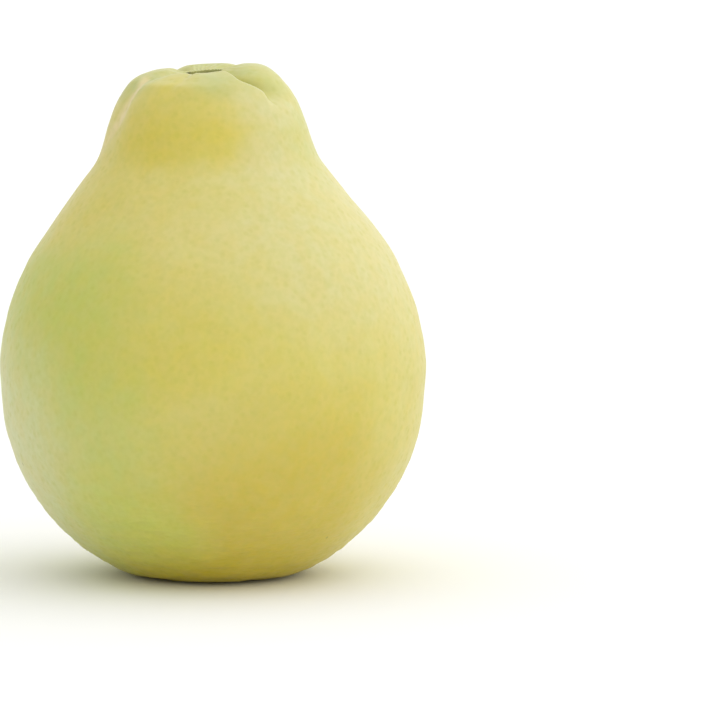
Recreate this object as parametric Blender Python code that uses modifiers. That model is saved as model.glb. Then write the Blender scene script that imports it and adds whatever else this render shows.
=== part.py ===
"""Jamaican tangelo: one whole fruit, standing on the small flat spot at its blossom end.

Metres, +Z up. The origin is the middle of the flat spot, and the fruit's front faces -Y.
Azimuths are in degrees round the fruit, 0 at the front and 90 at +X, on the fruit's right.
"""

import math

import bpy
from mathutils import Vector

# Driving dimensions
WIDTH = 0.120
HEIGHT = 0.144
FLAT_SPOT_RADIUS = 0.014

# The outline from the crest of the crown down to the flat spot, as shares of half the width and
# of the height: a rounded crown, a neck that flares into sloping shoulders, a belly that is
# widest below the middle, and a round underside
OUTLINE = (
    (0.200, 1.000),
    (0.281, 0.993),
    (0.357, 0.972),
    (0.421, 0.934),
    (0.462, 0.890),
    (0.498, 0.847),
    (0.544, 0.808),
    (0.624, 0.759),
    (0.764, 0.685),
    (0.876, 0.612),
    (0.960, 0.522),
    (0.997, 0.440),
    (1.000, 0.382),
    (0.980, 0.300),
    (0.913, 0.212),
    (0.793, 0.128),
    (0.634, 0.060),
    (0.460, 0.014),
    (0.330, 0.001),
)

# The stem hollow: a shallow dish inside the crest, then a round hole for the stem button
DISH_DROP = 0.0013
HOLE_RADIUS = 0.0050
HOLE_DEPTH = 0.0062
HOLE_ROUNDING = 0.0004

# The style scar, a small dimple in the middle of the flat spot
SCAR_RADIUS = 0.0030
SCAR_DEPTH = 0.0005

# Furrows that part the crown into lobes: azimuth, depth, how wide they are towards lower and
# towards higher azimuths in degrees, softness of the bottom (0 is a sharp fold), and how far
# down the neck they reach. The front lobe drops steeply into the first one, and the last one
# only dents the crest in front of the hollow
FURROWS = (
    (52, 0.0034, 10, 34, 0.04, 0.0075),
    (134, 0.0019, 30, 30, 0.04, 0.020),
    (220, 0.0018, 18, 36, 0.04, 0.018),
    (293, 0.0013, 18, 18, 0.30, 0.026),
    (332, 0.0006, 10, 10, 0.30, 0.004),
)
FURROW_START = 0.0038
FURROW_FADE = 0.004

# The front lobe narrows by this many degrees on its left and right, between these heights
NARROWING_LEFT, NARROWING_RIGHT = 6, 16
NARROW_FROM, NARROW_TO = 0.1375, 0.1422

# The pinch under the crown's bulge and the swell below it, strongest at the front: height,
# half the height it spans, and how far the surface moves out. BACK_SHARE is left at the back
PINCH = (0.119, 0.0050, -0.0005)
SWELL = (0.109, 0.0045, 0.0003)
BACK_SHARE = 0.35

# The neck leans to the left between these heights. The stem hollow lies a little further left and
# is tilted more. The crown's top rises to the right, from TILT_START on, and drops to the front
LEAN = 0.0014
LEAN_FROM, LEAN_TO = 0.088, 0.132
HOLLOW_SHIFT = 0.0010
HOLLOW_TILT = 0.05
CROWN_TILT = 0.06
TILT_START = -0.012
FRONT_DROP = 0.088
TILT_FROM = 0.139

# The belly is a little out of round, widest along this azimuth, but the flat spot is not
OUT_OF_ROUND = 0.004
WIDE_AZIMUTH = 70
ROUND_BELOW, FULL_ABOVE = 0.0, 0.043

# The stem button: a dried calyx with blunt sepals round the scar of the stalk
SEPALS = 5
BUTTON_RADIUS = 0.0041
BUTTON_THICKNESS = 0.0013
BUTTON_ROUNDING = 0.0004
SEPAL_REACH = 0.10
SEPAL_CURL = 0.0007
STALK_RADIUS = 0.0016
STALK_RISE = 0.0011
STALK_DISH = 0.0003
STALK_LIP = 0.0003
TOUCHING_GAP = 0.0003

# Facets: steps round each turned piece, points along a rounding, and the space between rings
FRUIT_STEPS = 90
BUTTON_STEPS = 40
ARC_POINTS = 3
BELLY_RING = 0.0062
NECK_RING = 0.0030
NECK_FROM, NECK_TO = 0.086, 0.108
MERGE = 0.00005
SHARP_ANGLE = math.radians(60)


def clear_scene():
    for item in list(bpy.data.objects):
        bpy.data.objects.remove(item, do_unlink=True)


def fade(low, high, value):
    """0 below low, 1 above high and a smooth rise between them."""
    share = min(max((value - low) / (high - low), 0.0), 1.0)
    return share * share * (3.0 - 2.0 * share)


def through(points, spacing):
    """Points along a Catmull-Rom curve through the given ones, about spacing(height) apart."""
    ends = [2 * points[0] - points[1], *points, 2 * points[-1] - points[-2]]
    line = []
    for before, start, end, after in zip(ends, ends[1:], ends[2:], ends[3:]):
        count = max(1, round((end - start).length / spacing((start.y + end.y) / 2)))
        for step in range(count):
            t = step / count
            straight = 2 * start + (end - before) * t
            bend = (2 * before - 5 * start + 4 * end - after) * t**2
            twist = (3 * start - before - 3 * end + after) * t**3
            line.append((straight + bend + twist) / 2)
    return line + [points[-1]]


def arc(centre_r, centre_z, radius, start, end):
    """Points along an arc of the profile, from one angle to another, in degrees."""
    angles = [start + (end - start) * i / (ARC_POINTS - 1) for i in range(ARC_POINTS)]
    return [
        Vector((
            centre_r + radius * math.cos(math.radians(angle)),
            centre_z + radius * math.sin(math.radians(angle)),
        ))
        for angle in angles
    ]


def ring_spacing(height):
    return BELLY_RING + (NECK_RING - BELLY_RING) * fade(NECK_FROM, NECK_TO, height)


def fruit_profile():
    """The whole outline, from the middle of the stem hollow to the middle of the flat spot."""
    rim = HEIGHT - DISH_DROP
    floor = HEIGHT - HOLE_DEPTH
    outer = [Vector((r * WIDTH / 2, z * HEIGHT)) for r, z in OUTLINE]
    outer.append(Vector((FLAT_SPOT_RADIUS, 0)))
    hollow = [
        Vector((0, floor)),
        *arc(HOLE_RADIUS - HOLE_ROUNDING, floor + HOLE_ROUNDING, HOLE_ROUNDING, 270, 360),
        *arc(HOLE_RADIUS + HOLE_ROUNDING, rim - HOLE_ROUNDING, HOLE_ROUNDING, 180, 90),
        Vector(((HOLE_RADIUS + HOLE_ROUNDING + outer[0].x) / 2, HEIGHT - 0.35 * DISH_DROP)),
    ]
    rings = [Vector((p.x, max(p.y, 0))) for p in through(outer, ring_spacing)]
    scar = [
        Vector((SCAR_RADIUS, 0)),
        Vector((SCAR_RADIUS / 2, 0.8 * SCAR_DEPTH)),
        Vector((0, SCAR_DEPTH)),
    ]
    return hollow + rings + scar


def button_profile():
    """The stem button's outline, from the middle of the stalk's scar to that of its underside."""
    floor = HEIGHT - HOLE_DEPTH + TOUCHING_GAP
    top = floor + BUTTON_THICKNESS
    tip = top + STALK_RISE
    edge = BUTTON_RADIUS - BUTTON_ROUNDING
    return [
        Vector((0, tip - STALK_DISH)),
        Vector((STALK_RADIUS - 2 * STALK_LIP, tip - STALK_DISH)),
        *arc(STALK_RADIUS - STALK_LIP, tip - STALK_LIP, STALK_LIP, 120, 0),
        *arc(STALK_RADIUS + STALK_LIP, top + STALK_LIP, STALK_LIP, 180, 270),
        Vector((0.68 * BUTTON_RADIUS, top)),
        *arc(edge, top - BUTTON_ROUNDING, BUTTON_ROUNDING, 90, -60),
        Vector((0.8 * BUTTON_RADIUS, floor)),
        Vector((0, floor)),
    ]


def turned(name, profile, steps):
    """A closed mesh turned from a profile that runs down its outer side."""
    outline = bpy.data.meshes.new(name + "_outline")
    edges = [(i, i + 1) for i in range(len(profile) - 1)]
    outline.from_pydata([(p.x, 0, p.y) for p in profile], edges, [])
    holder = bpy.data.objects.new(name + "_outline", outline)
    bpy.context.scene.collection.objects.link(holder)
    screw = holder.modifiers.new("turn", "SCREW")
    screw.axis = "Z"
    screw.steps = screw.render_steps = steps
    screw.use_merge_vertices = True
    screw.merge_threshold = MERGE
    bpy.context.view_layer.update()
    graph = bpy.context.evaluated_depsgraph_get()
    mesh = bpy.data.meshes.new_from_object(holder.evaluated_get(graph))
    mesh.name = name
    bpy.data.objects.remove(holder, do_unlink=True)
    bpy.data.meshes.remove(outline)
    return mesh


def radius_of(point):
    return math.hypot(point.x, point.y)


def azimuth_of(point):
    return math.degrees(math.atan2(point.x, -point.y)) % 360


def furrow_depth(point):
    """How far the deepest furrow here lies below the smooth surface."""
    clear_of_hole = fade(HOLE_RADIUS + HOLE_ROUNDING, HOLE_RADIUS + HOLE_ROUNDING + FURROW_START,
                         radius_of(point))
    fade_from = HEIGHT - FURROW_FADE
    depth = 0.0
    for azimuth, deepest, width_below, width_above, softness, reach in FURROWS:
        turn = (azimuth_of(point) - azimuth + 180) % 360 - 180
        across = math.hypot(turn / (width_above if turn > 0 else width_below), softness)
        if across < 1:
            section = ((1 - across) / (1 - softness)) ** 2
            down = fade(fade_from - reach, fade_from, point.z)
            depth = max(depth, deepest * section * down)
    return depth * clear_of_hole


def swelling(point):
    """How far the pinch and the swell of the shoulder move the surface out."""
    facing_front = (1 + math.cos(math.radians(azimuth_of(point)))) / 2
    total = 0.0
    for height, half_span, rise in (PINCH, SWELL):
        total += rise * math.exp(-(((point.z - height) / half_span) ** 2))
    return total * (BACK_SHARE + (1 - BACK_SHARE) * facing_front)


def roundness(point):
    """The sideways factor that takes the belly out of round."""
    turn = math.radians(2 * (azimuth_of(point) - WIDE_AZIMUTH))
    return 1 + OUT_OF_ROUND * math.cos(turn) * fade(ROUND_BELOW, FULL_ABOVE, point.z)


def narrowed(point):
    """The point turned round the stem axis, towards the front, where the front lobe narrows."""
    azimuth = math.radians(azimuth_of(point))
    between = 2 * math.sin(azimuth) * max(math.cos(azimuth), 0)
    degrees = NARROWING_RIGHT if between > 0 else NARROWING_LEFT
    turn = math.radians(degrees * between * fade(NARROW_FROM, NARROW_TO, point.z))
    x = point.x * math.cos(turn) + point.y * math.sin(turn)
    y = point.y * math.cos(turn) - point.x * math.sin(turn)
    return Vector((x, y, point.z))


def leaning(point):
    """The point after the neck's lean, the hollow's shift and the crown's tilt."""
    in_hollow = 1 - fade(HOLE_RADIUS + HOLE_ROUNDING, OUTLINE[0][0] * WIDTH / 2, radius_of(point))
    aside = (LEAN + HOLLOW_SHIFT * in_hollow) * fade(LEAN_FROM, LEAN_TO, point.z)
    slope = CROWN_TILT * max(point.x, TILT_START) + FRONT_DROP * min(point.y, 0)
    rise = slope * fade(TILT_FROM, HEIGHT, point.z)
    rise += HOLLOW_TILT * point.x * in_hollow * fade(LEAN_FROM, LEAN_TO, point.z)
    return Vector((point.x - aside, point.y, point.z + rise))


def make_fruit():
    mesh = turned("fruit", fruit_profile(), FRUIT_STEPS)
    normals = [vertex.normal.copy() for vertex in mesh.vertices]
    for vertex, normal in zip(mesh.vertices, normals):
        point = vertex.co + normal * (swelling(vertex.co) - furrow_depth(vertex.co))
        wide = roundness(vertex.co)
        vertex.co = leaning(narrowed(Vector((point.x * wide, point.y * wide, point.z))))
    return mesh


def make_calyx():
    mesh = turned("calyx", button_profile(), BUTTON_STEPS)
    floor = HEIGHT - HOLE_DEPTH + TOUCHING_GAP
    for vertex in mesh.vertices:
        point = vertex.co.copy()
        outward = fade(STALK_RADIUS + STALK_LIP, BUTTON_RADIUS, radius_of(point))
        sepal = math.cos(math.radians(SEPALS * azimuth_of(point)))
        reach = 1 + SEPAL_REACH * sepal * outward
        upper = fade(floor, floor + BUTTON_THICKNESS, point.z)
        curl = SEPAL_CURL * (1 + sepal) / 2 * outward**2 * upper
        vertex.co = leaning(Vector((point.x * reach, point.y * reach, point.z + curl)))
    return mesh


def finish(name, colour, roughness):
    """A plain finish with no metal in it."""
    material = bpy.data.materials.new(name)
    material.use_nodes = True
    shader = material.node_tree.nodes["Principled BSDF"]
    shader.inputs["Base Color"].default_value = (*colour, 1)
    shader.inputs["Roughness"].default_value = roughness
    shader.inputs["Metallic"].default_value = 0.0
    return material


def place(collection, mesh, material):
    mesh.materials.clear()
    mesh.materials.append(material)
    mesh.shade_smooth()
    mesh.set_sharp_from_angle(angle=SHARP_ANGLE)
    collection.objects.link(bpy.data.objects.new(mesh.name, mesh))


def main():
    clear_scene()
    parts = bpy.data.collections.new("jamaican_tangelo")
    bpy.context.scene.collection.children.link(parts)
    place(parts, make_fruit(), finish("rind", (0.62, 0.56, 0.17), 0.42))
    place(parts, make_calyx(), finish("dry_calyx", (0.16, 0.13, 0.05), 0.80))


main()
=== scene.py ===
# %% [markdown]
# # A jamaican tangelo with a real rind
#
# The frame holds a whole fruit, standing on the small flat spot at its blossom end, and the dried
# stem button that sits in the hollow on its crown. Both solids have the right size and form, but
# they are coarse and plain. This lesson builds a fine skin and a fine stem button in the same
# places, gives each a finish made of nodes, and sets up the light and the camera.

# %% Load the fixed frame
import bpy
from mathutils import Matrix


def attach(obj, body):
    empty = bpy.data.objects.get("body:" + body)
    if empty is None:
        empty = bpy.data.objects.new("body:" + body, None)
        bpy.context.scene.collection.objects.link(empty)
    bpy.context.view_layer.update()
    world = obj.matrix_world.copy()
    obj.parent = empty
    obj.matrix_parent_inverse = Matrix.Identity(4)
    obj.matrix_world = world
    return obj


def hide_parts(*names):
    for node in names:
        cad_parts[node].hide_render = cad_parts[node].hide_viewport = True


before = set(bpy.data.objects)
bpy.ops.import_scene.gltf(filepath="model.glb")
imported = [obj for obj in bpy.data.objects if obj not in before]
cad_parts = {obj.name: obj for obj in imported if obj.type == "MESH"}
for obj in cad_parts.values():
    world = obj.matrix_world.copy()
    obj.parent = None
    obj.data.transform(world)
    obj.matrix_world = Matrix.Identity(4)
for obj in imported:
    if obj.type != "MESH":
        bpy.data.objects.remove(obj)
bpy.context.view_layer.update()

# %% Import what the lesson uses
import math
import random

import bmesh
import bpy
import numpy as np
from mathutils import Matrix, Vector, noise

# %% [markdown]
# ## The fruit's sizes
#
# A turned fruit is ruled by one outline. It could be traced as hundreds of points, but a few that
# mark where the curve changes, joined by a smooth curve, are easier to read and to change. Each
# pair below is a share of half the width and a share of the height, from the crest of the crown
# down to the flat spot: a rounded crown, a neck that flares into sloping shoulders, a belly that is
# widest below the middle, and a round underside.

# %% Name the fruit's sizes, in metres
WIDTH = 0.120
HEIGHT = 0.144
FLAT_SPOT_RADIUS = 0.014
OUTLINE = (
    (0.200, 1.000),
    (0.281, 0.993),
    (0.357, 0.972),
    (0.421, 0.934),
    (0.462, 0.890),
    (0.498, 0.847),
    (0.544, 0.808),
    (0.624, 0.759),
    (0.764, 0.685),
    (0.876, 0.612),
    (0.960, 0.522),
    (0.997, 0.440),
    (1.000, 0.382),
    (0.980, 0.300),
    (0.913, 0.212),
    (0.793, 0.128),
    (0.634, 0.060),
    (0.460, 0.014),
    (0.330, 0.001),
)
DISH_DROP = 0.0013
HOLE_RADIUS = 0.0050
HOLE_DEPTH = 0.0062
HOLE_ROUNDING = 0.0004
SCAR_RADIUS = 0.0030
SCAR_DEPTH = 0.0005
print(f"fruit {WIDTH * 1000:.0f} mm wide and {HEIGHT * 1000:.0f} mm high")

# %% [markdown]
# ## Smooth rises and smooth curves
#
# Two small helpers do most of the shaping. `fade` rises smoothly from 0 to 1 between two values, and
# works on one number or on a whole array; `band` rises and falls again. `through` walks a
# Catmull-Rom curve, which passes through every point that it is given. A Bezier curve would only be
# pulled towards them.

# %% Helpers for shapes
def fade(low, high, value):
    """0 below low, 1 above high and a smooth rise between them."""
    share = np.clip((value - low) / (high - low), 0.0, 1.0)
    return share * share * (3.0 - 2.0 * share)


def through(points, spacing):
    """Points along a Catmull-Rom curve through the given ones, about spacing(height) apart."""
    ends = [2 * points[0] - points[1], *points, 2 * points[-1] - points[-2]]
    line = []
    for before, start, end, after in zip(ends, ends[1:], ends[2:], ends[3:]):
        count = max(1, round((end - start).length / spacing((start.y + end.y) / 2)))
        for step in range(count):
            t = step / count
            straight = 2 * start + (end - before) * t
            bend = (2 * before - 5 * start + 4 * end - after) * t**2
            twist = (3 * start - before - 3 * end + after) * t**3
            line.append((straight + bend + twist) / 2)
    return line + [points[-1]]


def arc(centre_r, centre_z, radius, start, end, points=7):
    """Points along an arc of the outline, from one angle to another, in degrees."""
    angles = np.radians(np.linspace(start, end, points))
    return [Vector((centre_r + radius * math.cos(a), centre_z + radius * math.sin(a))) for a in angles]


def run(start, end, points):
    """Points along a straight stretch of the outline, without its two ends."""
    return [start.lerp(end, i / (points + 1)) for i in range(1, points + 1)]


def band(value, rise_from, rise_to, fall_from, fall_to):
    """1 between rise_to and fall_from, with a smooth rise before them and a smooth fall after."""
    return fade(rise_from, rise_to, value) * fade(fall_to, fall_from, value)


print("halfway up a fade:", fade(0.0, 1.0, 0.5))

# %% [markdown]
# ## The outline of the skin
#
# The rings are close together on the crown, where furrows and puckers need them, and wider apart on
# the belly. That keeps the mesh under 200,000 triangles while no ring is more than a millimetre
# from the next.

# %% Draw the outline
CROWN_RING = 0.00060
BELLY_RING = 0.00099
CROWN_FROM, CROWN_TO = 0.086, 0.108
DISH_BEND = 0.35  # share of the dish's drop that is left halfway out to the crest
SCAR_RINGS = (0.8, 0.6, 0.3, 0)  # shares of the scar's radius


def ring_spacing(height):
    """How far one ring of points lies from the next, at each height."""
    return BELLY_RING + (CROWN_RING - BELLY_RING) * fade(CROWN_FROM, CROWN_TO, height)


def fruit_outline():
    """From the middle of the stem hollow, out over the crest and down to the style scar."""
    rim = HEIGHT - DISH_DROP
    floor = HEIGHT - HOLE_DEPTH
    foot = arc(HOLE_RADIUS - HOLE_ROUNDING, floor + HOLE_ROUNDING, HOLE_ROUNDING, 270, 360)
    lip = arc(HOLE_RADIUS + HOLE_ROUNDING, rim - HOLE_ROUNDING, HOLE_ROUNDING, 180, 90)
    centre = Vector((0, floor))
    dish = Vector(((lip[-1].x + OUTLINE[0][0] * WIDTH / 2) / 2, HEIGHT - DISH_BEND * DISH_DROP))
    outer = [Vector((r * WIDTH / 2, z * HEIGHT)) for r, z in OUTLINE]
    flat = Vector((FLAT_SPOT_RADIUS, 0))
    surface = through([lip[-1], dish, *outer, flat], ring_spacing)
    surface = [Vector((p.x, max(p.y, 0))) for p in surface]
    edge = Vector((SCAR_RADIUS, 0))
    scar = [Vector((r * SCAR_RADIUS, SCAR_DEPTH * math.cos(r * math.pi / 2))) for r in SCAR_RINGS]
    return [
        centre, *run(centre, foot[0], 5), *foot, *run(foot[-1], lip[0], 6), *lip,
        *surface[1:], *run(flat, edge, 8), edge, *scar,
    ]


skin_outline = fruit_outline()
print(len(skin_outline), "points in the outline")

# %% [markdown]
# ## Turning the outline
#
# A fruit could be pulled out of a sphere, but a sphere's rings don't follow a neck or a stem hollow.
# `bmesh.ops.spin` sweeps the outline round the stem axis instead. It slows down as the mesh grows, so
# only an eighth of the turn is spun. That slice is doubled three times, each copy turned on by as
# much as there is already. Merging the points that meet joins the slices and closes both poles. One
# step a degree puts a line of points on the bottom of every furrow.

# %% Turn a closed shape from an outline
MERGE_DISTANCE = 0.00001


def turned(name, outline, steps):
    """A closed mesh swept round the Z axis from an outline that starts and ends on it."""
    bm = bmesh.new()
    line = [bm.verts.new((p.x, 0, p.y)) for p in outline]
    edges = [bm.edges.new(pair) for pair in zip(line, line[1:])]
    eighth = math.tau / 8
    bmesh.ops.spin(
        bm, geom=line + edges, axis=(0, 0, 1), cent=(0, 0, 0), angle=eighth, steps=steps // 8
    )
    for turn in (eighth, 2 * eighth, 4 * eighth):
        copy = bmesh.ops.duplicate(bm, geom=bm.verts[:] + bm.edges[:] + bm.faces[:])
        points = [item for item in copy["geom"] if isinstance(item, bmesh.types.BMVert)]
        bmesh.ops.rotate(bm, verts=points, cent=(0, 0, 0), matrix=Matrix.Rotation(turn, 3, "Z"))
    bmesh.ops.remove_doubles(bm, verts=bm.verts, dist=MERGE_DISTANCE)
    bmesh.ops.recalc_face_normals(bm, faces=bm.faces)
    mesh = bpy.data.meshes.new(name)
    bm.to_mesh(mesh)
    bm.free()
    return mesh


SKIN_STEPS = 360
skin_mesh = turned("fruit_skin", skin_outline, SKIN_STEPS)
print(len(skin_mesh.vertices), "points,", len(skin_mesh.polygons), "faces")

# %% [markdown]
# ## Moving points by a formula
#
# The rest of the form is made by moving the points that are already there. numpy moves all of them
# at once, which is far quicker than a Python loop. `Points` holds what the formulas ask for: the
# places, the directions that face out of the skin, the distance from the axis and the azimuth,
# which is 0 at the front and 90 on the fruit's right.

# %% Read and write all the points of a mesh
class Points:
    """The points of a mesh as numpy arrays, with their directions, distances and azimuths."""

    def __init__(self, mesh):
        self.place = np.empty(len(mesh.vertices) * 3, np.float32)
        mesh.vertices.foreach_get("co", self.place)
        self.place = self.place.reshape(-1, 3).astype(float)
        self.outward = np.array([v.normal for v in mesh.vertices], float)
        self.radius = np.hypot(self.place[:, 0], self.place[:, 1])
        self.azimuth = np.degrees(np.arctan2(self.place[:, 0], -self.place[:, 1])) % 360
        self.height = self.place[:, 2].copy()

    def write(self, mesh):
        mesh.vertices.foreach_set("co", self.place.astype(np.float32).ravel())
        mesh.update()


def turn_from(azimuth, other):
    """How far an azimuth lies beyond another, in degrees, from -180 to 180."""
    return (azimuth - other + 180) % 360 - 180


skin = Points(skin_mesh)
print("highest point at", round(skin.height.max() * 1000, 2), "mm")

# %% [markdown]
# ## Furrows, pinch and swell
#
# Four furrows run down from the crown and part it into lobes, and a fifth only dents the crest in
# front of the stem hollow. The one at the front right is a deep fold, where the front lobe leans
# over its neighbour, so it is narrow on one side and wide on the other. Each furrow's cross-section
# is a curve that is steepest at the bottom, like skin drawn into a crease, and it grows rounder as
# the furrow runs out. Below the crown the neck is pinched in a little and then swells into the
# shoulder, most of all at the front.

# %% Shape the crown and the neck
FURROWS = (
    # azimuth, depth, width on either side in degrees, softness of the bottom, reach down the neck
    (52, 0.0034, 10, 34, 0.04, 0.0075),
    (134, 0.0019, 30, 30, 0.04, 0.020),
    (220, 0.0018, 18, 36, 0.04, 0.018),
    (293, 0.0013, 18, 18, 0.30, 0.026),
    (332, 0.0006, 10, 10, 0.30, 0.004),
)
FURROW_START = 0.0038
FURROW_FADE = 0.004
ROUND_END = 0.40
ROUND_FROM, ROUND_TO = 0.1405, 0.1365
PINCH = (0.119, 0.0050, -0.0005)
SWELL = (0.109, 0.0045, 0.0003)
BACK_SHARE = 0.35


def furrow_depth(points):
    """How far the deepest furrow at each point lies below the smooth surface."""
    lip_end = HOLE_RADIUS + HOLE_ROUNDING
    clear_of_hole = fade(lip_end, lip_end + FURROW_START, points.radius)
    fade_from = HEIGHT - FURROW_FADE
    depth = np.zeros(len(points.height))
    for azimuth, deepest, width_below, width_above, softness, reach in FURROWS:
        turn = turn_from(points.azimuth, azimuth)
        soft = softness + (ROUND_END - softness) * fade(ROUND_FROM, ROUND_TO, points.height)
        across = np.hypot(turn / np.where(turn > 0, width_above, width_below), soft)
        section = np.clip((1 - across) / (1 - soft), 0, None) ** 2
        depth = np.maximum(depth, deepest * section * fade(fade_from - reach, fade_from, points.height))
    return depth * clear_of_hole


def neck_swelling(points):
    """How far the pinch and the swell move each point out."""
    facing_front = (1 + np.cos(np.radians(points.azimuth))) / 2
    total = 0.0
    for height, half_span, rise in (PINCH, SWELL):
        total = total + rise * np.exp(-(((points.height - height) / half_span) ** 2))
    return total * (BACK_SHARE + (1 - BACK_SHARE) * facing_front)


furrows = furrow_depth(skin)
form = neck_swelling(skin) - furrows
print("deepest furrow", round(furrows.max() * 1000, 2), "mm")

# %% [markdown]
# ## Masks that belong to the form
#
# The fold gets painted shade in a darker green, and the groove at the front left gets a painted
# highlight along its lit wall. The wall of the stem hollow is brown, partly the dry rind and partly
# painted shade, which deepens lower down and at the two ends of its mouth. A finish could look for
# these places again by their distance from a point, but the mesh already knows where they are. So
# each point gets a number from 0 to 1 for each of the three, stored as an attribute of the mesh,
# and the finish reads them by their names.

# %% Store three masks in the mesh
# The painted shade beside the fold lies between these heights and azimuths.
FOLD_HEIGHTS = (0.131, 0.138)
FOLD_EDGES = (-4, 0, 4, 22)  # degrees from the bottom of the fold
# The painted highlight along the groove follows these heights and azimuths.
GROOVE_HEIGHTS = (0.121, 0.130, 0.139, 0.143)
GROOVE_AZIMUTHS = (280, 294, 298, 284)
GROOVE_ENDS = (0.117, 0.130, 0.1418, 0.1436)
GROOVE_EDGES = (-10, -1, 2, 7)  # degrees from the middle of the groove
NEAR_TOP = (0.12, 0.13)
# Painted shade in the hollow: deeper below the rim and at the two ends of its mouth.
HOLLOW_DARK_FROM, HOLLOW_DARK_TO = 0.0006, 0.0020  # how far below the rim
DARK_LEFT = (-0.60, -0.90)  # shares of the way from the middle to the side
DARK_RIGHT = (0.75, 0.95)
DARK_RIGHT_SHARE = 0.6


def store(mesh, name, values):
    """Keeps one number for each point, for the finish to read."""
    mesh.attributes.new(name, "FLOAT", "POINT").data.foreach_set("value", values.astype(np.float32))


beyond_fold = turn_from(skin.azimuth, FURROWS[0][0])
beyond_groove = turn_from(skin.azimuth, np.interp(skin.height, GROOVE_HEIGHTS, GROOVE_AZIMUTHS))
# Fold mask: painted shade in a darker green on the flank beside the fold.
store(skin_mesh, "fold_shade", fade(*FOLD_HEIGHTS, skin.height) * band(beyond_fold, *FOLD_EDGES))
# Groove mask: a painted highlight along the groove's lit wall.
store(skin_mesh, "groove_highlight", band(skin.height, *GROOVE_ENDS) * band(beyond_groove, *GROOVE_EDGES))
# Hollow mask: dry brown rind, with painted shade lower down and at the two ends of its mouth.
in_hole = fade(HOLE_RADIUS + 0.5 * HOLE_ROUNDING, HOLE_RADIUS, skin.radius)
in_hole *= fade(*NEAR_TOP, skin.height)
to_right = np.sin(np.radians(skin.azimuth))
at_ends = np.maximum(fade(*DARK_LEFT, to_right), DARK_RIGHT_SHARE * fade(*DARK_RIGHT, to_right))
below_rim = HEIGHT - DISH_DROP - skin.height
deep = fade(HOLLOW_DARK_FROM, HOLLOW_DARK_TO, below_rim)
store(skin_mesh, "hole_brown_and_shade", in_hole * np.maximum(deep, at_ends))
print("masks:", [name for name in ("fold_shade", "groove_highlight", "hole_brown_and_shade") if name in skin_mesh.attributes])

# %% [markdown]
# ## The unevenness of a grown rind
#
# A turned shape looks machined until it loses its perfect roundness. Three layers of noise, each
# finer and shallower than the last, press the skin in by a few tenths of a millimetre. They only
# press inwards, so that the skin keeps the fruit's size. A scatter of shallow dents follows, such as
# a rind gets from the twigs round it, and fine puckers run in towards the stem hollow. Low on the
# fruit the rind has level ripples: noise whose input is multiplied by four along Z, which makes each
# ripple four times as wide as it is high. All of it fades out at the flat spot, so that the fruit
# still rests flat.

# %% Press in the unevenness
SKIN_INSET = 0.00006
LAYER_WAVES = (-0.15, 0.75)  # noise below the first isn't pressed in, and above the second fully
LAYERS = (
    # size and depth of each layer of noise
    (0.0190, 0.00036),
    (0.0075, 0.00015),
    (0.0032, 0.00003),
)
CLEAR_OF_FLAT = 1.6
ABOVE_FLAT = (0.002, 0.010)
DENTS = 70
DENT_RADII = (0.0014, 0.0034)
DENT_DEPTHS = (0.00005, 0.00014)
PUCKERS = 34
PUCKER_DEPTH = 0.00016
PUCKER_REACH = 0.0085
PUCKER_SWAY = 5.0
SWAY_SIZE = 0.006
ON_CROWN = (0.130, 0.138)
RIPPLE_WIDTH = 0.0060
RIPPLE_FLATNESS = 4.0
RIPPLE_DEPTH = 0.00021
RIPPLE_WAVES = (-0.4, 0.4)
RIPPLE_FROM, RIPPLE_TO = 0.048, 0.008


def uneven(points):
    """Layers of noise, each from 0 down to minus its depth."""
    places = [Vector(place) for place in points.place]
    total = np.zeros(len(places))
    for size, depth in LAYERS:
        waves = np.array([noise.noise(place / size) for place in places])
        total -= depth * fade(*LAYER_WAVES, waves)
    return total


def dents(points, draw):
    """Shallow round dents at random places on the skin."""
    total = np.zeros(len(points.height))
    for _ in range(DENTS):
        middle = points.place[draw.randrange(len(points.height))]
        radius = draw.uniform(*DENT_RADII)
        depth = draw.uniform(*DENT_DEPTHS)
        apart = np.linalg.norm(points.place - middle, axis=1)
        total = np.minimum(total, -depth * np.exp(-((apart / radius) ** 2)))
    return total


def puckers(points):
    """Fine radial wrinkles round the stem hollow."""
    lip_end = HOLE_RADIUS + HOLE_ROUNDING
    sway = np.array([noise.noise(place / SWAY_SIZE) for place in map(Vector, points.place)])
    wave = 0.5 + 0.5 * np.cos(np.radians(points.azimuth) * PUCKERS + PUCKER_SWAY * sway)
    near = fade(lip_end + PUCKER_REACH, lip_end, points.radius) * fade(*ON_CROWN, points.height)
    return -PUCKER_DEPTH * wave * near * fade(HOLE_RADIUS - HOLE_ROUNDING, lip_end, points.radius)


def ripples(points):
    """Level ripples low on the fruit, wider than they are high."""
    places = points.place * (1, 1, RIPPLE_FLATNESS) / RIPPLE_WIDTH
    waves = np.array([noise.noise(place) for place in map(Vector, places)])
    low_down = fade(RIPPLE_FROM, RIPPLE_TO, points.height)
    return -RIPPLE_DEPTH * fade(*RIPPLE_WAVES, waves) * low_down


beside_the_flat = fade(FLAT_SPOT_RADIUS, CLEAR_OF_FLAT * FLAT_SPOT_RADIUS, skin.radius)
off_the_flat = np.clip(beside_the_flat + fade(*ABOVE_FLAT, skin.height), 0, 1)
relief = uneven(skin) + ripples(skin) + dents(skin, random.Random(7)) - SKIN_INSET
form = form + relief * off_the_flat + puckers(skin)
print("relief from", round(relief.min() * 1000, 2), "to", round(relief.max() * 1000, 2), "mm")

# %% [markdown]
# ## Out of round, narrowed, leaning, tilted
#
# Last come the changes to the whole form. The belly is a little wider one way than the other. The
# front lobe narrows towards the top, most of all on its right, so the furrows beside it run in
# together, which is done by turning the points beside it round the stem axis. The neck leans to the
# left, and the stem hollow lies further left still and is tilted more. The top of the crown rises
# to the right and drops towards the front. The order matters: the skin is first moved along its own
# outward direction, and only then leaned, because those directions belong to the upright shape.

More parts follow.
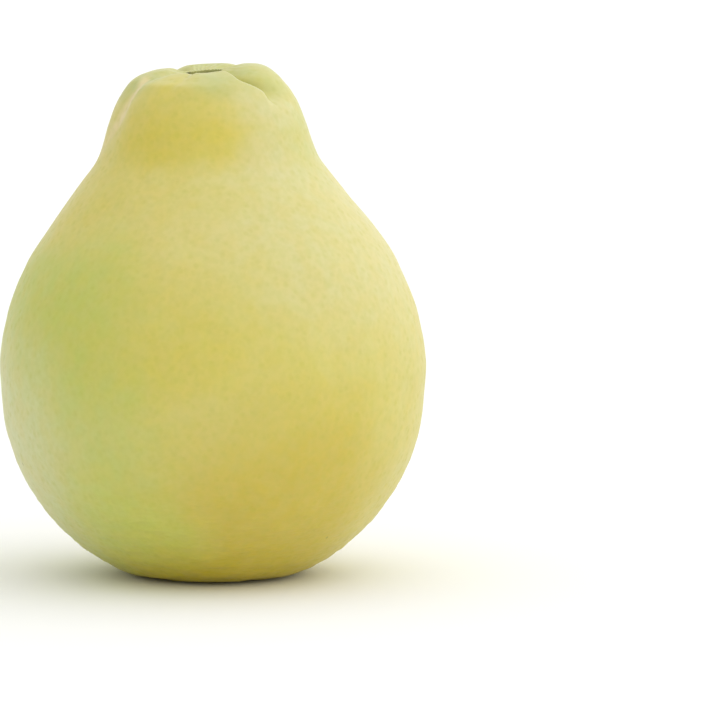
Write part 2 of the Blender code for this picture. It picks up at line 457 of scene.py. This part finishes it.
# %% Lean the fruit and finish its mesh
OUT_OF_ROUND = 0.004
WIDE_AZIMUTH = 70
FULL_ABOVE = 0.043
NARROWING_LEFT, NARROWING_RIGHT = 6, 16
NARROW_FROM, NARROW_TO = 0.1375, 0.1422
LEAN = 0.0014
LEAN_FROM, LEAN_TO = 0.088, 0.132
HOLLOW_SHIFT = 0.0010
HOLLOW_TILT = 0.05
CROWN_TILT = 0.06
TILT_START = -0.012
FRONT_DROP = 0.088
TILT_FROM = 0.139


def out_of_round(points):
    """Widens the fruit along one azimuth and narrows it across."""
    turn = np.radians(2 * (points.azimuth - WIDE_AZIMUTH))
    wide = 1 + OUT_OF_ROUND * np.cos(turn) * fade(0.0, FULL_ABOVE, points.height)
    points.place[:, :2] *= wide[:, None]


def narrow(points):
    """Turns the crown's points towards the front, most of all halfway to the sides."""
    x, y, z = points.place.T
    radius = np.maximum(np.hypot(x, y), MERGE_DISTANCE)
    halfway = 2 * (x / radius) * np.maximum(-y / radius, 0)
    degrees = np.where(halfway > 0, NARROWING_RIGHT, NARROWING_LEFT)
    turn = np.radians(degrees * halfway * fade(NARROW_FROM, NARROW_TO, z))
    points.place[:, 0], points.place[:, 1] = (
        x * np.cos(turn) + y * np.sin(turn),
        y * np.cos(turn) - x * np.sin(turn),
    )


def lean(points):
    """Leans the neck to the left, tilts the crown and sets the stem hollow further left."""
    x, y, z = points.place.T
    in_hollow = 1 - fade(HOLE_RADIUS + HOLE_ROUNDING, OUTLINE[0][0] * WIDTH / 2, np.hypot(x, y))
    slope = CROWN_TILT * np.maximum(x, TILT_START) + FRONT_DROP * np.minimum(y, 0)
    up_the_neck = fade(LEAN_FROM, LEAN_TO, z)
    rise = slope * fade(TILT_FROM, HEIGHT, z) + HOLLOW_TILT * x * in_hollow * up_the_neck
    points.place[:, 0] = x - (LEAN + HOLLOW_SHIFT * in_hollow) * up_the_neck
    points.place[:, 2] = z + rise


skin.place += skin.outward * form[:, None]
out_of_round(skin)
narrow(skin)
lean(skin)
skin.write(skin_mesh)
skin_mesh.shade_smooth()
fruit_skin = bpy.data.objects.new("fruit_skin", skin_mesh)
bpy.context.scene.collection.objects.link(fruit_skin)
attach(fruit_skin, "root")
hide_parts("fruit")
print("skin from", [round(v * 1000, 2) for v in skin.place.min(0)],
      "to", [round(v * 1000, 2) for v in skin.place.max(0)], "mm")

# %% [markdown]
# ## The stem button
#
# The button is what is left of the flower: five blunt sepals round the scar where the stalk broke
# off. It could be five leaf shapes laid in a ring, but on the real fruit they have grown together.
# So it is turned as one piece, and then the edge is pushed out and curled up where a sepal ends.
# Each sepal has a rib down its middle and small wrinkles across it.

# %% Turn the stem button
SEPALS = 5
BUTTON_RADIUS = 0.0041
BUTTON_THICKNESS = 0.0013
BUTTON_ROUNDING = 0.0004
SEPAL_REACH = 0.10
SEPAL_CURL = 0.0007
STALK_RADIUS = 0.0016
STALK_RISE = 0.0011
STALK_DISH = 0.0003
STALK_LIP = 0.0003
TOUCHING_GAP = 0.0003
BUTTON_STEPS = 240
button_floor = HEIGHT - HOLE_DEPTH + TOUCHING_GAP
button_top = button_floor + BUTTON_THICKNESS
stalk_tip = button_top + STALK_RISE


def button_outline():
    """From the middle of the stalk's scar, out over the sepals and back under them."""
    edge = BUTTON_RADIUS - BUTTON_ROUNDING
    scar = Vector((0, stalk_tip - STALK_DISH))
    ring = arc(STALK_RADIUS - STALK_LIP, stalk_tip - STALK_LIP, STALK_LIP, 150, 0)
    corner = arc(STALK_RADIUS + STALK_LIP, button_top + STALK_LIP, STALK_LIP, 180, 270)
    rounded = arc(edge, button_top - BUTTON_ROUNDING, BUTTON_ROUNDING, 90, -60)
    under = Vector((0.8 * BUTTON_RADIUS, button_floor))
    middle = Vector((0, button_floor))
    return [
        scar, *run(scar, ring[0], 12), *ring, *run(ring[-1], corner[0], 5), *corner,
        *run(corner[-1], rounded[0], 18), *rounded, *run(rounded[-1], under, 4), under,
        *run(under, middle, 4), middle,
    ]


button_mesh = turned("stem_button", button_outline(), BUTTON_STEPS)
button = Points(button_mesh)
print(len(button_mesh.polygons), "faces in the stem button")

# %% Shape the sepals and the stalk's scar
RIB_RISE = 0.00022
WRINKLE_RISE = 0.00010
FIBRE_RISE = 0.00009
WRINKLE_SIZE = 0.0006
FIBRE_SIZE = 0.00035


def button_relief(points):
    """Ribs and wrinkles on the sepals, and torn fibres on the stalk's scar."""
    sepal = np.cos(np.radians(SEPALS * points.azimuth))
    on_sepals = fade(STALK_RADIUS + STALK_LIP, 1.3 * STALK_RADIUS + STALK_LIP, points.radius)
    on_scar = fade(STALK_RADIUS, 0.8 * STALK_RADIUS, points.radius)
    upper = fade(button_floor, button_top, points.height)
    places = [Vector(place) for place in points.place]
    wrinkle = np.array([noise.noise(place / WRINKLE_SIZE) for place in places])
    fibre = np.array([noise.noise(place / FIBRE_SIZE) for place in places])
    rib = np.clip(sepal, 0, 1) ** 6
    relief = on_sepals * (RIB_RISE * rib + WRINKLE_RISE * wrinkle) + on_scar * FIBRE_RISE * fibre
    return relief * upper


def spread_sepals(points):
    """Pushes the edge out and up where a sepal ends."""
    sepal = np.cos(np.radians(SEPALS * points.azimuth))
    outward = fade(STALK_RADIUS + STALK_LIP, BUTTON_RADIUS, points.radius)
    upper = fade(button_floor, button_top, points.height)
    points.place[:, :2] *= (1 + SEPAL_REACH * sepal * outward)[:, None]
    points.place[:, 2] += SEPAL_CURL * (1 + sepal) / 2 * outward**2 * upper


button.place += button.outward * button_relief(button)[:, None]
spread_sepals(button)
lean(button)
button.write(button_mesh)
button_mesh.shade_smooth()
stem_button = bpy.data.objects.new("stem_button", button_mesh)
bpy.context.scene.collection.objects.link(stem_button)
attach(stem_button, "root")
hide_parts("calyx")
print("button from", round(button.place[:, 2].min() * 1000, 2),
      "to", round(button.place[:, 2].max() * 1000, 2), "mm")

# %% [markdown]
# ## Wiring nodes with less typing
#
# A material is a tree of nodes. Made by hand in Python, each one takes a line to add, a line for
# every option and a line for every link. One helper does all three: a value that is a socket is
# linked, and any other value is written into the socket.

# %% Helpers for node trees
def add(tree, kind, sockets=None, **options):
    """Adds a node, sets its options, and links or fills its input sockets."""
    made = tree.nodes.new("ShaderNode" + kind)
    for name, value in options.items():
        setattr(made, name, value)
    for name, value in (sockets or {}).items():
        if isinstance(value, bpy.types.NodeSocket):
            tree.links.new(value, made.inputs[name])
        else:
            made.inputs[name].default_value = value
    return made


def maths(tree, operation, first, second=0.0):
    """One sum on two numbers."""
    return add(tree, "Math", {0: first, 1: second}, operation=operation).outputs[0]


def vectors(tree, operation, first, second):
    """One sum on two vectors."""
    return add(tree, "VectorMath", {0: first, 1: second}, operation=operation).outputs[0]


def between(tree, value, low, high, bottom=0.0, top=1.0):
    """A smooth rise from bottom to top as the value goes from low to high."""
    sockets = {"Value": value, "From Min": low, "From Max": high, "To Min": bottom, "To Max": top}
    return add(tree, "MapRange", sockets, interpolation_type="SMOOTHSTEP").outputs["Result"]


def blended(tree, share, under, over):
    """The colour over laid on the colour under, by a share from 0 to 1."""
    return add(tree, "Mix", {0: share, 6: under, 7: over}, data_type="RGBA").outputs[2]


def tone(red, green, blue):
    """A colour as a picture program shows it, from 0 to 255, turned into Blender's linear values."""
    def linear(channel):
        share = channel / 255
        return share / 12.92 if share <= 0.04045 else ((share + 0.055) / 1.055) ** 2.4
    return (linear(red), linear(green), linear(blue), 1.0)


print("mid grey is", round(tone(128, 128, 128)[0], 3), "in linear light")

# %% [markdown]
# ## Groups that the finishes share
#
# Both finishes need soft blotches, and both need marks that are strongest round one place, such as
# a ripe patch on the rind or the dark middle of the stalk's scar. The rind also turns from one
# colour to another along a direction, as where the green of its left side ends. Each of these is a
# node group with named sockets, built once. A group hands out only masks that change over the
# surface, and the shader itself stays in the material. A short function places each group.

# %% Build the shared groups
def new_group(name, inputs):
    """An empty shader group with inputs given as (name, kind, default) and one output, Mask."""
    group = bpy.data.node_groups.new(name, "ShaderNodeTree")
    for label, kind, default in inputs:
        socket = group.interface.new_socket(name=label, in_out="INPUT", socket_type="NodeSocket" + kind)
        socket.default_value = default
    group.interface.new_socket(name="Mask", in_out="OUTPUT", socket_type="NodeSocketFloat")
    given = group.nodes.new("NodeGroupInput").outputs
    return group, given, group.nodes.new("NodeGroupOutput").inputs


BLOTCH_NOISE = (0.30, 0.70)


def blotches_group():
    """Soft noise as a mask from 0 to 1. Size is the width of a blotch, in metres."""
    group, given, result = new_group("blotches", [
        ("Place", "Vector", (0, 0, 0)),
        ("Size", "Float", 0.02),
        ("Detail", "Float", 3.0),
    ])
    finer = maths(group, "DIVIDE", 1.0, given["Size"])
    sockets = {"Vector": given["Place"], "Scale": finer, "Detail": given["Detail"]}
    cloud = add(group, "TexNoise", sockets).outputs["Fac"]
    group.links.new(between(group, cloud, *BLOTCH_NOISE), result["Mask"])
    return group


def patch_group():
    """A soft mark: 1 within Core of the centre, 0 beyond Reach, Wide times as wide as it is high."""
    group, given, result = new_group("patch", [
        ("Place", "Vector", (0, 0, 0)),
        ("Centre", "Vector", (0, 0, 0)),
        ("Core", "Float", 0.01),
        ("Reach", "Float", 0.03),
        ("Wide", "Float", 1.0),
    ])
    apart = vectors(group, "SUBTRACT", given["Place"], given["Centre"])
    narrower = maths(group, "DIVIDE", 1.0, given["Wide"])
    squeeze = add(group, "CombineXYZ", {"X": narrower, "Y": narrower, "Z": 1.0}).outputs[0]
    squeezed = vectors(group, "MULTIPLY", apart, squeeze)
    length = add(group, "VectorMath", {0: squeezed}, operation="LENGTH").outputs["Value"]
    group.links.new(between(group, length, given["Reach"], given["Core"]), result["Mask"])
    return group


def side_group():
    """A soft-edged side: 0 below Low and 1 above High, measured along Direction, in metres."""
    group, given, result = new_group("side", [
        ("Place", "Vector", (0, 0, 0)),
        ("Direction", "Vector", (1, 0, 0)),
        ("Low", "Float", 0.0),
        ("High", "Float", 0.02),
    ])
    sockets = {0: given["Place"], 1: given["Direction"]}
    along = add(group, "VectorMath", sockets, operation="DOT_PRODUCT").outputs["Value"]
    group.links.new(between(group, along, given["Low"], given["High"]), result["Mask"])
    return group


BLOTCHES = blotches_group()
PATCH = patch_group()
SIDE = side_group()


def mask_from(tree, group, **values):
    """Places a group in a tree, links or fills its inputs and gives back its mask."""
    return add(tree, "Group", node_tree=group, sockets=values).outputs["Mask"]


def blotches(tree, place, size, detail=3.0):
    """Soft noise of one size."""
    return mask_from(tree, BLOTCHES, Place=place, Size=size, Detail=detail)


def patch(tree, place, centre, core, reach, wide=1.0):
    """A soft mark round one place."""
    return mask_from(tree, PATCH, Place=place, Centre=centre, Core=core, Reach=reach, Wide=wide)


def side(tree, place, direction, low, high):
    """All that lies beyond a soft edge."""
    return mask_from(tree, SIDE, Place=place, Direction=direction, Low=low, High=high)


print("groups:", [group.name for group in bpy.data.node_groups])

# %% [markdown]
# ## The colour of the rind
#
# Citrus turns from green to yellow as it ripens, and it doesn't turn evenly. The sunny side of this
# fruit is pale yellow. The front of the neck is golden, partly its own tone and partly painted
# shade under the collar, with a thin band of painted shade below it. The underside is golden too,
# with painted shade in a deep ochre at the very bottom. A green blush is left on the fruit's left,
# over a painted sheen low down on the left edge. A picture could be wrapped round the fruit, but
# then its sides and back would need pictures too. Soft sides and patches, placed in the fruit's own
# space, give every side its colour. Their edges are bent by noise, so that none looks straight or
# round. The painted shade in the fold and the painted highlight on the groove come last, from the
# masks stored in the mesh.

# %% Colour the rind
YELLOW = tone(204, 193, 95)
SHOULDER = tone(209, 198, 114)
PALE = tone(206, 199, 134)
GOLDEN = tone(206, 191, 76)
AMBER = tone(195, 175, 62)
GREEN = tone(186, 193, 92)
LEAF_GREEN = tone(193, 200, 92)
# painted sheen on the lower left edge, also a faint pale tone
CREAM_AND_SHEEN = tone(203, 206, 150)
# painted shade at the bottom
UNDERSIDE_SHADE_OCHRE = tone(198, 178, 0)
NECK_GREEN = tone(191, 191, 110)
CROWN_GREEN = tone(182, 187, 117)
# painted highlight on the front lobe
LOBE_HIGHLIGHT_PALE = tone(206, 201, 146)
# painted highlight on the groove
GROOVE_HIGHLIGHT_CREAM = tone(222, 205, 150)
# painted shade in the fold
FOLD_SHADE_GREEN = tone(186, 186, 96)
# dry brown of the scars, also used as painted shade in the hollow
SCAR_BROWN_AND_SHADE = tone(84, 80, 32)
PORE_OLIVE = tone(172, 175, 62)
RIPE_ORANGE = tone(215, 189, 78)
FLECK_CREAM = tone(204, 194, 146)
PIT_OLIVE = tone(140, 142, 58)

SHOULDER_HEIGHTS = (0.076, 0.104)
CLOUD_SIZE, CLOUD_SHARE = 0.030, 0.25
GREEN_SIDE, GREEN_EDGE = (-1.0, 0.0, -0.16), (-0.004, 0.026)
BELOW_SHOULDER, SHOULDER_EDGE = (0.25, 0.0, -1.0), (-0.120, -0.096)
UPWARDS = (0.0, 0.0, 1.0)
CROWN_HEIGHTS, CROWN_SHARE = (0.134, 0.142), 0.9
RIND_PATCHES = (
    # colour, strength, centre, core and reach of its height, how much wider it is than high
    (YELLOW, 0.80, (-0.030, -0.018, 0.106), 0.008, 0.024, 1.0),
    (PALE, 0.95, (0.036, -0.030, 0.106), 0.018, 0.054, 1.0),
    (NECK_GREEN, 0.75, (0.026, -0.007, 0.131), 0.005, 0.029, 1.0),
    # partly the neck's golden tone, partly painted shade under the collar
    (GOLDEN, 0.85, (-0.0085, -0.022, 0.1222), 0.005, 0.012, 2.1),
    # a thin band of painted shade below the collar
    (GOLDEN, 0.25, (-0.003, -0.034, 0.110), 0.002, 0.008, 4.0),
    (GOLDEN, 0.75, (-0.0075, -0.021, 0.130), 0.002, 0.019, 1.25),
    # painted highlight on the front lobe's edge beside the fold, and lower on the neck's right
    (LOBE_HIGHLIGHT_PALE, 0.70, (0.0145, -0.020, 0.135), 0.004, 0.0115, 1.0),
    (LOBE_HIGHLIGHT_PALE, 0.55, (0.0205, -0.026, 0.118), 0.005, 0.015, 1.0),
    (GOLDEN, 0.40, (-0.008, -0.056, 0.067), 0.004, 0.016, 2.0),
    (AMBER, 0.90, (0.022, -0.048, 0.022), 0.014, 0.046, 1.1),
    (LEAF_GREEN, 0.80, (-0.024, -0.034, 0.014), 0.010, 0.030, 1.2),
    (CREAM_AND_SHEEN, 0.14, (-0.030, -0.049, 0.040), 0.004, 0.017, 1.4),
    # painted sheen along the lower left edge, a reflection of the pale studio
    (CREAM_AND_SHEEN, 0.95, (-0.054, -0.016, 0.035), 0.010, 0.048, 1.0),
    # painted shade at the very bottom, where the fruit meets the floor
    (UNDERSIDE_SHADE_OCHRE, 0.90, (0.004, -0.010, 0.000), 0.018, 0.043, 1.0),
)
# Painted light from the masks: a highlight on the groove and shade in the fold.
MASK_TINTS = (
    # mask stored in the mesh, colour, strength
    # painted highlight on the groove's lit wall
    ("groove_highlight", GROOVE_HIGHLIGHT_CREAM, 0.90),
    # painted shade beside the fold
    ("fold_shade", FOLD_SHADE_GREEN, 0.35),
)
print(len(RIND_PATCHES), "patches on the rind")


def laid(tree, mask, strength, under, over):
    """The colour over laid on the colour under where the mask is, by at most its strength."""
    return blended(tree, maths(tree, "MULTIPLY", mask, strength), under, over)


def rind_colour(tree, place, bent):
    """Sides and patches over a mottled yellow ground: ripeness, and painted shade, highlights and
    sheen.
    """
    colour = blended(tree, side(tree, bent, UPWARDS, *SHOULDER_HEIGHTS), YELLOW, SHOULDER)
    colour = laid(tree, blotches(tree, place, CLOUD_SIZE), CLOUD_SHARE, colour, PALE)
    left = side(tree, bent, GREEN_SIDE, *GREEN_EDGE)
    below_shoulder = side(tree, bent, BELOW_SHOULDER, *SHOULDER_EDGE)
    colour = blended(tree, maths(tree, "MULTIPLY", left, below_shoulder), colour, GREEN)
    colour = laid(tree, side(tree, bent, UPWARDS, *CROWN_HEIGHTS), CROWN_SHARE, colour, CROWN_GREEN)
    for over, strength, centre, core, reach, wide in RIND_PATCHES:
        colour = laid(tree, patch(tree, bent, centre, core, reach, wide), strength, colour, over)
    for name, tint, strength in MASK_TINTS:
        mask = add(tree, "Attribute", attribute_name=name).outputs["Fac"]
        colour = laid(tree, mask, strength, colour, tint)
    return colour


# %% [markdown]
# ## Pores, pits and gloss
#
# The rind is full of oil glands. Each shows as a shallow pore, a little darker and greener than the
# skin round it, about two and a half millimetres from the next. A Voronoi texture gives one cell a
# gland, and its distance output is 0 in the middle of a cell. A second, wider Voronoi puts a few
# small dark pits between them. Ripeness also changes from one gland to the next, which three layers
# of fine mottles show. Ripples too fine for the mesh run between the larger ones. The gloss is
# that of a thin wax: satin, and duller in the pores.

# %% Name the sizes of the rind's finish
DRIFT_SIZE, DRIFT_REACH = 0.030, 0.024
PORE_SPACING = 0.0025
PORE_RADIUS = 0.50  # in cells
PORE_BOTTOM = 0.05
PORE_SHARE = 0.14
MOTTLE_DETAIL = 1.5
MOTTLES = (
    # width of a mottle, strength, colour
    (0.0058, 0.20, RIPE_ORANGE),
    (0.0036, 0.09, FLECK_CREAM),
    (0.0020, 0.15, PORE_OLIVE),
)
PIT_SPACING = 0.017
PIT_RADIUS = 0.035  # in cells
PIT_BOTTOM = 0.6 * PIT_RADIUS
PIT_SHARE = 0.6
SCAR_SHARE = 0.8
SATIN, PORE_DULLNESS = 0.40, 0.10
GRAIN_SIZE, GRAIN_HEIGHT = 0.0009, 0.25  # heights are in pore depths
FINE_RIPPLE_WIDTH, FINE_RIPPLE_HEIGHT = 0.0030, 5.0
PORE_DEPTH, PORE_RELIEF = 0.00007, 0.5
GLOW_SHARE, GLOW_DEPTH, GLOW_COLOUR = 0.08, 0.002, (1.0, 0.8, 0.3)
print("a pore every", PORE_SPACING * 1000, "mm")

# %% Make the rind
def cells(tree, place, spacing):
    """How far each place is from the middle of its cell, in cells."""
    return add(tree, "TexVoronoi", {"Vector": place, "Scale": 1 / spacing}).outputs["Distance"]


def new_material(name):
    """A material with its node tree and its main shader."""
    material = bpy.data.materials.new(name)
    material.use_nodes = True
    return material, material.node_tree, material.node_tree.nodes["Principled BSDF"]


def bent_places(tree, place):
    """The places pushed about by soft noise, so that no patch has a straight or round edge."""
    sockets = {"Vector": place, "Scale": 1 / DRIFT_SIZE, "Detail": 2.0}
    drift = add(tree, "TexNoise", sockets).outputs["Color"]
    centred = vectors(tree, "SUBTRACT", drift, (0.5, 0.5, 0.5))
    moved = add(tree, "VectorMath", {0: centred, "Scale": DRIFT_REACH}, operation="SCALE").outputs[0]
    return vectors(tree, "ADD", place, moved)


def fine_ripples(tree, place):
    """The height of level ripples too fine for the mesh, low on the fruit."""
    flatter = vectors(tree, "MULTIPLY", place, (1, 1, RIPPLE_FLATNESS))
    sockets = {"Vector": flatter, "Scale": 1 / FINE_RIPPLE_WIDTH, "Detail": 1.0}
    ripple = add(tree, "TexNoise", sockets).outputs["Fac"]
    low_down = side(tree, place, (0, 0, -1), -RIPPLE_FROM, -RIPPLE_TO)
    return maths(tree, "MULTIPLY", maths(tree, "MULTIPLY", ripple, low_down), FINE_RIPPLE_HEIGHT)


def rind_finish():
    """Pores, pits and mottles over the colours of the rind, with a satin gloss."""
    material, tree, shader = new_material("rind_finish")
    place = add(tree, "TexCoord").outputs["Object"]
    colour = rind_colour(tree, place, bent_places(tree, place))
    for size, strength, tint in MOTTLES:
        colour = laid(tree, blotches(tree, place, size, MOTTLE_DETAIL), strength, colour, tint)
    pore = between(tree, cells(tree, place, PORE_SPACING), PORE_RADIUS, PORE_BOTTOM)
    colour = laid(tree, pore, PORE_SHARE, colour, PORE_OLIVE)
    pit = between(tree, cells(tree, place, PIT_SPACING), PIT_RADIUS, PIT_BOTTOM)
    colour = laid(tree, pit, PIT_SHARE, colour, PIT_OLIVE)
    # The hollow's wall: dry brown rind plus painted shade lower down and at the ends of its mouth.
    hole_brown_and_shade = add(tree, "Attribute", attribute_name="hole_brown_and_shade").outputs["Fac"]
    colour = blended(tree, hole_brown_and_shade, colour, SCAR_BROWN_AND_SHADE)
    scar = patch(tree, place, (0, 0, 0), 0.8 * SCAR_RADIUS, 1.4 * SCAR_RADIUS)
    colour = laid(tree, scar, SCAR_SHARE, colour, SCAR_BROWN_AND_SHADE)
    tree.links.new(colour, shader.inputs["Base Color"])

    dull = maths(tree, "ADD", maths(tree, "MULTIPLY", pore, PORE_DULLNESS), SATIN)
    tree.links.new(dull, shader.inputs["Roughness"])
    sockets = {"Vector": place, "Scale": 1 / GRAIN_SIZE, "Detail": 2.0}
    grain = add(tree, "TexNoise", sockets).outputs["Fac"]
    height = maths(tree, "SUBTRACT", maths(tree, "MULTIPLY", grain, GRAIN_HEIGHT), pore)
    height = maths(tree, "ADD", maths(tree, "SUBTRACT", height, pit), fine_ripples(tree, place))
    bump = add(tree, "Bump", {"Height": height, "Strength": PORE_RELIEF, "Distance": PORE_DEPTH})
    tree.links.new(bump.outputs["Normal"], shader.inputs["Normal"])
    shader.inputs["Subsurface Weight"].default_value = GLOW_SHARE
    shader.inputs["Subsurface Radius"].default_value = GLOW_COLOUR
    shader.inputs["Subsurface Scale"].default_value = GLOW_DEPTH
    return material


skin_mesh.materials.append(rind_finish())
print("rind:", len(bpy.data.materials["rind_finish"].node_tree.nodes), "nodes")

# %% [markdown]
# ## The dried stem button
#
# The sepals have dried to a dull brown that keeps some green near their edges. The scar of the
# stalk is paler, like any broken wood, and darker in the middle, where the pith was.

# %% Make the dried finish
BARK_BROWN = tone(112, 98, 52)
DRY_GREEN = tone(128, 126, 66)
BROKEN_WOOD = tone(158, 136, 88)
PITH_BROWN = tone(84, 68, 38)
BARK_SIZE, BARK_DETAIL = 0.0011, 4.0
SPECK_SIZE, SPECK_DETAIL, SPECK_SHARE = 0.00035, 2.0, 0.35
BARK_ROUGHNESS = (0.72, 0.88)
BARK_DEPTH, BARK_RELIEF = 0.00008, 0.6
STALK_MIDDLE = (-(LEAN + HOLLOW_SHIFT), 0, stalk_tip)


def dry_calyx_finish():
    """Mottled dry bark, with broken wood and dark pith where the stalk was."""
    material, tree, shader = new_material("dry_calyx_finish")
    place = add(tree, "TexCoord").outputs["Object"]
    colour = blended(tree, blotches(tree, place, BARK_SIZE, BARK_DETAIL), BARK_BROWN, DRY_GREEN)
    stalk = patch(tree, place, STALK_MIDDLE, 0.8 * STALK_RADIUS, 1.1 * STALK_RADIUS)
    colour = blended(tree, stalk, colour, BROKEN_WOOD)
    pith = patch(tree, place, STALK_MIDDLE, 0.1 * STALK_RADIUS, 0.5 * STALK_RADIUS)
    colour = blended(tree, pith, colour, PITH_BROWN)
    speck = blotches(tree, place, SPECK_SIZE, SPECK_DETAIL)
    colour = laid(tree, speck, SPECK_SHARE, colour, PITH_BROWN)
    tree.links.new(colour, shader.inputs["Base Color"])
    tree.links.new(between(tree, speck, 0.0, 1.0, *BARK_ROUGHNESS), shader.inputs["Roughness"])
    bump = add(tree, "Bump", {"Height": speck, "Strength": BARK_RELIEF, "Distance": BARK_DEPTH})
    tree.links.new(bump.outputs["Normal"], shader.inputs["Normal"])
    return material


button_mesh.materials.append(dry_calyx_finish())
print("finishes:", [material.name for material in bpy.data.materials])

# %% [markdown]
# ## The studio
#
# The photograph has hardly any shadow on the fruit: it fades slowly from a bright right shoulder to
# a darker left and underside, as it does in a tent of white cloth with a lamp outside. Lamps of a
# set size would leave highlights with edges. So the light is the sky itself: its strength is worked
# out from the direction, brightest up on the right and a little behind. The floor is a wide pale
# disc, so there is no wall to hide the fruit from a camera behind it.

# %% Lay the floor and light the tent
FLOOR_RADIUS, FLOOR_SIDES = 6.0, 128
FLOOR_WHITE = tone(244, 244, 242)
PAPER_ROUGHNESS = 0.9
TENT_BASE = 0.955
TENT_SLOPE = (0.446, 0.140, 0.369)


def make_floor():
    """A wide disc of pale paper for the fruit to stand on."""
    bm = bmesh.new()
    bmesh.ops.create_circle(bm, cap_ends=True, radius=FLOOR_RADIUS, segments=FLOOR_SIDES)
    mesh = bpy.data.meshes.new("floor")
    bm.to_mesh(mesh)
    bm.free()
    material, _, shader = new_material("floor_paper")
    shader.inputs["Base Color"].default_value = FLOOR_WHITE
    shader.inputs["Roughness"].default_value = PAPER_ROUGHNESS
    shader.inputs["Specular IOR Level"].default_value = 0.0
    mesh.materials.append(material)
    floor = bpy.data.objects.new("floor", mesh)
    bpy.context.scene.collection.objects.link(floor)


def light_tent():
    """A white world whose strength rises along TENT_SLOPE."""
    world = bpy.data.worlds.new("tent")
    world.use_nodes = True
    tree = world.node_tree
    towards = add(tree, "TexCoord").outputs["Generated"]
    slope = add(tree, "VectorMath", {0: towards, 1: TENT_SLOPE}, operation="DOT_PRODUCT")
    strength = maths(tree, "ADD", slope.outputs["Value"], TENT_BASE)
    tree.nodes["Background"].inputs["Color"].default_value = (1, 1, 1, 1)
    tree.links.new(strength, tree.nodes["Background"].inputs["Strength"])
    bpy.context.scene.world = world


make_floor()
light_tent()
bpy.context.scene.view_settings.view_transform = "Standard"
slope_size = Vector(TENT_SLOPE).length
print("tent from", round(TENT_BASE - slope_size, 2), "to", round(TENT_BASE + slope_size, 2))

# %% [markdown]
# ## The camera
#
# A long lens two metres away shows the fruit almost without perspective. The camera looks down by a
# few degrees, just enough to see the dark mouth of the stem hollow. The fruit stands left of the
# middle of the frame. The camera is moved sideways for that, and not turned, so that the fruit is
# still seen square on.

# %% Place the camera
CAMERA_DISTANCE = 2.0
CAMERA_ELEVATION = math.radians(6.5)
FRAME_PIXELS = 709
PIXEL_SIZE = 0.0002835
BASE_COLUMN, BASE_ROW = 213.5, 573.0

camera_data = bpy.data.cameras.new("camera")
camera_data.lens = camera_data.sensor_width * CAMERA_DISTANCE / (FRAME_PIXELS * PIXEL_SIZE)
camera = bpy.data.objects.new("camera", camera_data)
camera.rotation_euler = (math.pi / 2 - CAMERA_ELEVATION, 0, 0)
aside = (FRAME_PIXELS / 2 - BASE_COLUMN) * PIXEL_SIZE
above = (BASE_ROW - FRAME_PIXELS / 2) * PIXEL_SIZE
forward = Vector((0, math.cos(CAMERA_ELEVATION), -math.sin(CAMERA_ELEVATION)))
upward = Vector((0, math.sin(CAMERA_ELEVATION), math.cos(CAMERA_ELEVATION)))
camera.location = Vector((aside, 0, 0)) + upward * above - forward * CAMERA_DISTANCE
bpy.context.scene.collection.objects.link(camera)
bpy.context.scene.camera = camera
print("lens", round(camera_data.lens, 1), "mm, camera at", [round(v, 3) for v in camera.location])
